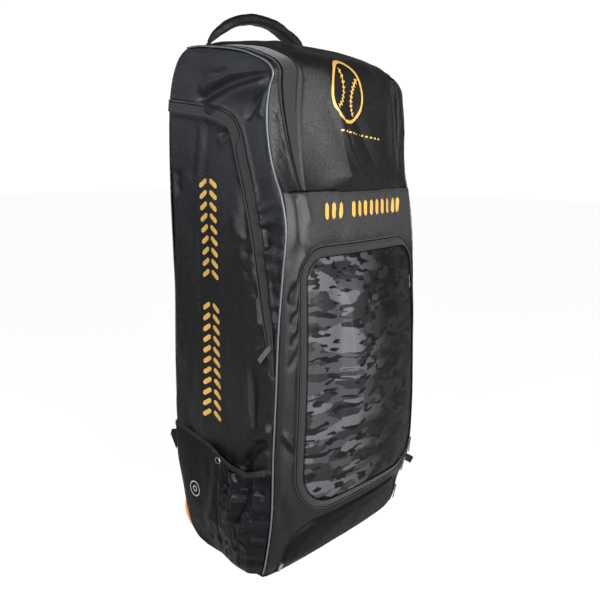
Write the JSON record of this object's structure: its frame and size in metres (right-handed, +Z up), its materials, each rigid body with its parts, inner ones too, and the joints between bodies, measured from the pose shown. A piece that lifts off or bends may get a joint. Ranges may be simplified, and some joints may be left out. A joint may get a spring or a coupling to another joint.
{
  "type": "cricket kit bag",
  "caption": "Upright wheeled cricket kit bag: stuffed black cloth body, zipped lid, camouflage front pocket, boot compartment, side bat zips and pockets, grab handle and shoulder straps.",
  "frame": {"origin": "centre of the body's main box, on the floor under the stiff base", "axes": "+Z up, -Y out of the front, +X to the right of someone who faces the front"},
  "size_m": [0.4469, 0.3756, 1.0306],
  "materials": {
    "black_cloth": "satin",
    "zip_tape": "matte",
    "camouflage_cloth": "satin",
    "reflective_piping": "satin",
    "black_webbing": "matte",
    "black_plastic": "matte",
    "zip_metal": "satin",
    "amber_tyre": "satin",
    "axle_steel": "satin"
  },
  "bodies": {
    "bag": {"lower_front_panel": "black_cloth", "front_pocket_zip_band": "zip_tape", "front_pocket_panel": "camouflage_cloth", "boot_zip_band": "zip_tape", "boot_panel": "black_cloth", "lid_panel": "black_cloth", "back_panel": "black_cloth", "side_panel_left": "black_cloth", "side_panel_right": "black_cloth", "piping_left": "reflective_piping", "piping_right": "reflective_piping", "lid_zip_band_left": "zip_tape", "lid_zip_band_right": "zip_tape", "upper_front_strip_left": "black_cloth", "upper_front_strip_right": "black_cloth", "base_panel": "black_plastic", "heel_guard": "black_plastic", "bat_zip_band_left": "zip_tape", "bat_zip_band_right": "zip_tape", "bat_zip_pull_left": "zip_metal", "bat_zip_pull_right": "zip_metal", "side_pocket_rear_left": "black_cloth", "side_pocket_rear_right": "black_cloth", "side_pocket_camo_left": "camouflage_cloth", "side_pocket_camo_right": "camouflage_cloth", "side_pocket_binding_left": "zip_tape", "side_pocket_binding_right": "zip_tape", "side_pocket_ring_left": "zip_metal", "side_pocket_ring_right": "zip_metal", "boot_zip_pull_left": "zip_metal", "boot_zip_pull_right": "zip_metal", "front_pocket_zip_pull_upper": "zip_metal", "front_pocket_zip_pull_lower": "zip_metal", "pull_tab_right": "black_webbing", "wheel_housing_left": "black_plastic", "wheel_housing_right": "black_plastic", "axle_left": "axle_steel", "axle_right": "axle_steel", "handle_webbing": "black_webbing", "handle_sleeve": "black_cloth", "strap_pad_left": "black_cloth", "strap_pad_right": "black_cloth", "strap_webbing_left": "black_webbing", "strap_webbing_right": "black_webbing", "strap_anchor_left": "black_webbing", "strap_anchor_right": "black_webbing"},
    "wheel_left": {"wheel_tyre_left": "amber_tyre", "wheel_hub_left": "black_plastic"},
    "wheel_right": {"wheel_tyre_right": "amber_tyre", "wheel_hub_right": "black_plastic"}
  },
  "joints": [
    {"name": "wheel_left_spin", "type": "hinge", "parent": "bag", "child": "wheel_left", "pos_m": [-0.17, 0.077, 0.05], "axis": [1, 0, 0], "continuous": true},
    {"name": "wheel_right_spin", "type": "hinge", "parent": "bag", "child": "wheel_right", "pos_m": [0.17, 0.077, 0.05], "axis": [1, 0, 0], "continuous": true}
  ]
}
